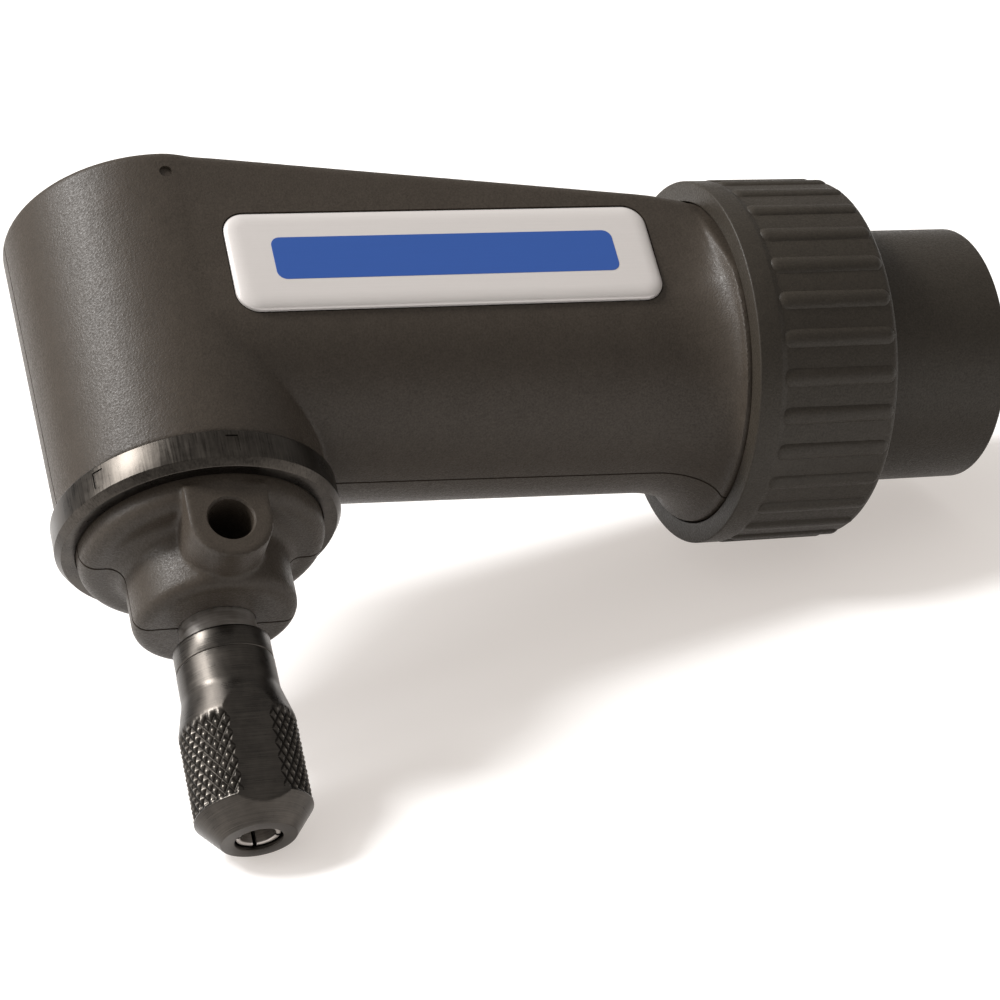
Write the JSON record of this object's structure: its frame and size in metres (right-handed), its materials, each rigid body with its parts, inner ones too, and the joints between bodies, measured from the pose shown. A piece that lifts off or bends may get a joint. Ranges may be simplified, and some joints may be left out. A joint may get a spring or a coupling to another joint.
{
  "type": "right angle attachment",
  "caption": "Right angle drive attachment for a hand-held rotary tool: moulded housing, bevel gears, collet spindle with knurled nut, and a ribbed coupling collar.",
  "frame": {"origin": "centre of the square tang's end face, on the drive axis inside the threaded sleeve", "axes": "+X along the drive axis towards the tool, +Z from the output axis towards the top of the head, -Z along the spindle towards the collet, -Y towards the plate"},
  "size_m": [0.0929, 0.0354, 0.0641],
  "materials": {
    "housing": "fine grained black moulding",
    "collar": "satin black moulding",
    "plate": "domed silver white plate",
    "blackened_steel": "blackened, brushed",
    "bright_steel": "ground",
    "gear_steel": "hardened, oiled",
    "zinc": "zinc plated",
    "cage": "brass cage with steel balls",
    "bronze": "sintered bronze",
    "rubber": "matt"
  },
  "bodies": {
    "housing": {"housing_front": "housing", "housing_rear": "housing", "head_ring": "blackened_steel", "label_plate": "plate", "housing_screw_1": "zinc", "housing_screw_2": "zinc", "housing_screw_3": "zinc", "housing_screw_4": "zinc", "front_bearing_outer_race": "bright_steel", "rear_bearing_outer_race": "bright_steel", "wave_washer": "zinc", "spindle_bearing_outer_race": "bright_steel", "spindle_bush": "bronze", "spindle_seal": "rubber"},
    "coupling": {"coupling_collar": "collar"},
    "drive": {"drive_shaft": "bright_steel", "drive_pinion": "gear_steel", "pinion_pin": "zinc", "front_bearing_inner_race": "bright_steel", "rear_bearing_inner_race": "bright_steel", "bearing_spacer": "zinc", "shaft_circlip": "zinc"},
    "front_cage": {"front_bearing_balls": "cage"},
    "rear_cage": {"rear_bearing_balls": "cage"},
    "spindle": {"output_spindle": "bright_steel", "output_gear": "gear_steel", "gear_pin": "zinc", "spindle_bearing_inner_race": "bright_steel", "spindle_circlip": "zinc"},
    "spindle_cage": {"spindle_bearing_balls": "cage"},
    "collet": {"collet": "bright_steel"},
    "nut": {"collet_nut": "blackened_steel"}
  },
  "joints": [
    {"name": "collar_turn", "type": "hinge", "parent": "housing", "child": "coupling", "pos_m": [0, 0, 0], "axis": [1, 0, 0], "continuous": true},
    {"name": "drive_spin", "type": "hinge", "parent": "housing", "child": "drive", "pos_m": [0, 0, 0], "axis": [1, 0, 0], "continuous": true},
    {"name": "spindle_spin", "type": "hinge", "parent": "housing", "child": "spindle", "pos_m": [-0.066, 0, 0], "axis": [0, 0, 1], "continuous": true},
    {"name": "front_cage_spin", "type": "hinge", "parent": "housing", "child": "front_cage", "pos_m": [-0.0515, 0, 0], "axis": [1, 0, 0], "continuous": true},
    {"name": "rear_cage_spin", "type": "hinge", "parent": "housing", "child": "rear_cage", "pos_m": [-0.027, 0, 0], "axis": [1, 0, 0], "continuous": true},
    {"name": "spindle_cage_spin", "type": "hinge", "parent": "housing", "child": "spindle_cage", "pos_m": [-0.066, 0, -0.0152], "axis": [0, 0, 1], "continuous": true},
    {"name": "collet_slide", "type": "slide", "parent": "spindle", "child": "collet", "axis": [0, 0, -1], "range_m": [0, 0.00127]},
    {"name": "nut_turn", "type": "hinge", "parent": "collet", "child": "nut", "pos_m": [-0.066, 0, -0.04], "axis": [0, 0, -1], "range_deg": [0, 720]}
  ],
  "couplings": [
    {"joint": "spindle_spin", "follows": "drive_spin", "ratio": 1},
    {"joint": "front_cage_spin", "follows": "drive_spin", "ratio": 0.3757},
    {"joint": "rear_cage_spin", "follows": "drive_spin", "ratio": 0.3757},
    {"joint": "spindle_cage_spin", "follows": "drive_spin", "ratio": 0.4033},
    {"joint": "nut_turn", "follows": "collet_slide", "rad_per_m": 9894}
  ]
}
